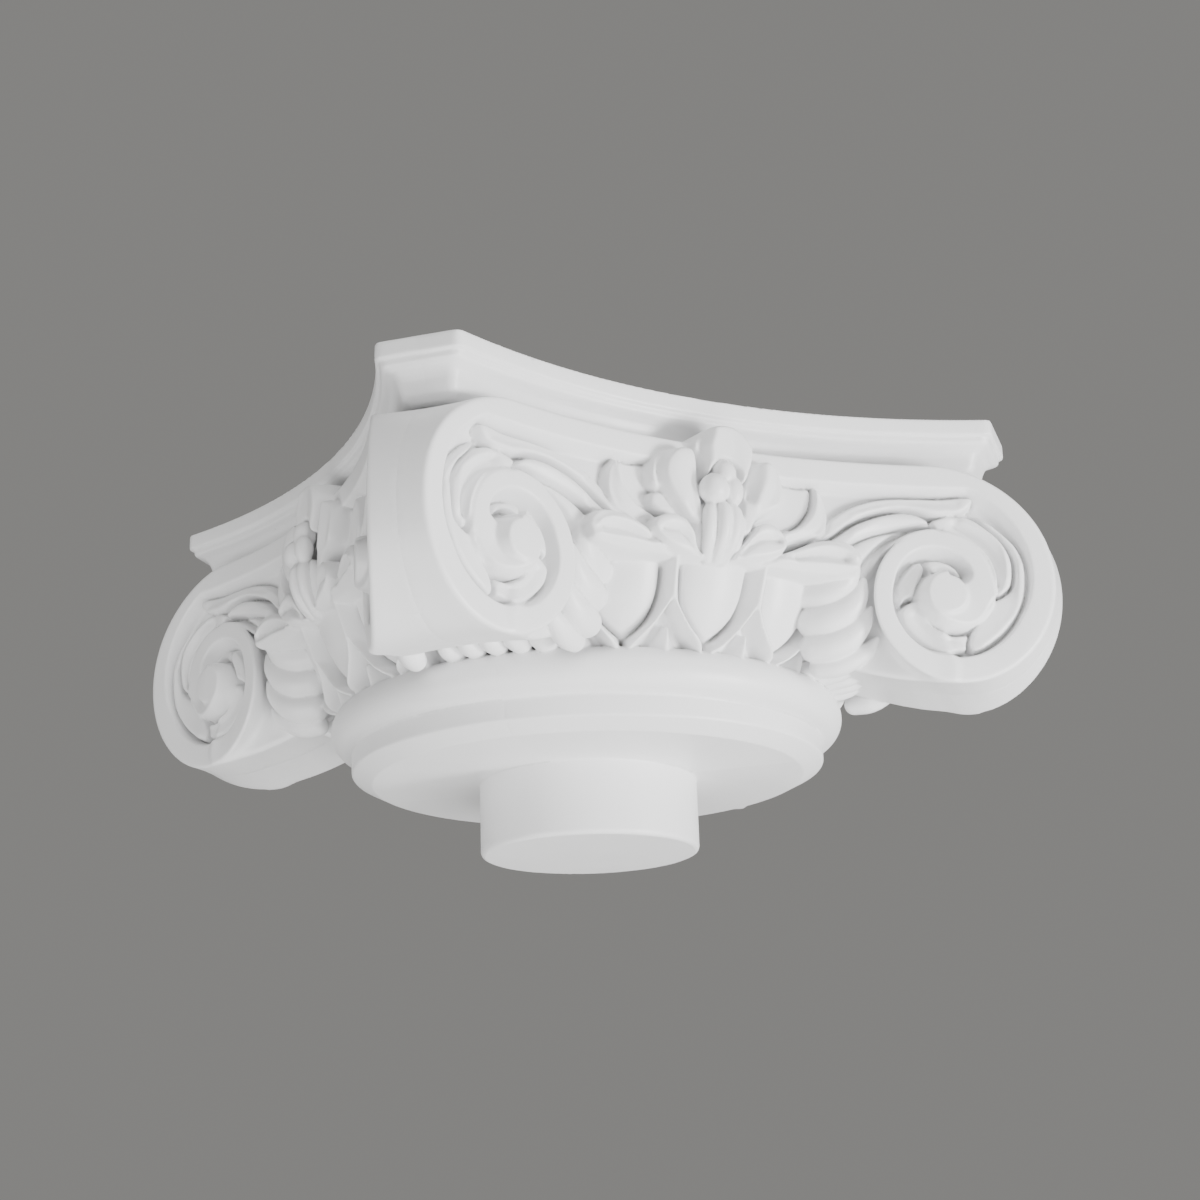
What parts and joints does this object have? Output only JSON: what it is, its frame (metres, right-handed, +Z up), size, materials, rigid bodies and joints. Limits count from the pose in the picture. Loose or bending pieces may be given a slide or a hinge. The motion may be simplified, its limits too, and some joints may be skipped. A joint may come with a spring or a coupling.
{
  "type": "angular ionic capital",
  "caption": "Ornamental column capital with concave abacus, diagonal corner scrolls, flowers, egg and dart moulding and a round spigot.",
  "frame": {"origin": "centre of the spigot's flat underside, on the column's axis", "axes": "+Z up along the column's axis, -Y out of one face, X along that face"},
  "size_m": [0.305, 0.305, 0.1617],
  "materials": {
    "white_casting": "smooth satin white, as cast"
  },
  "bodies": {
    "root": {"capital": "white_casting"}
  },
  "joints": []
}
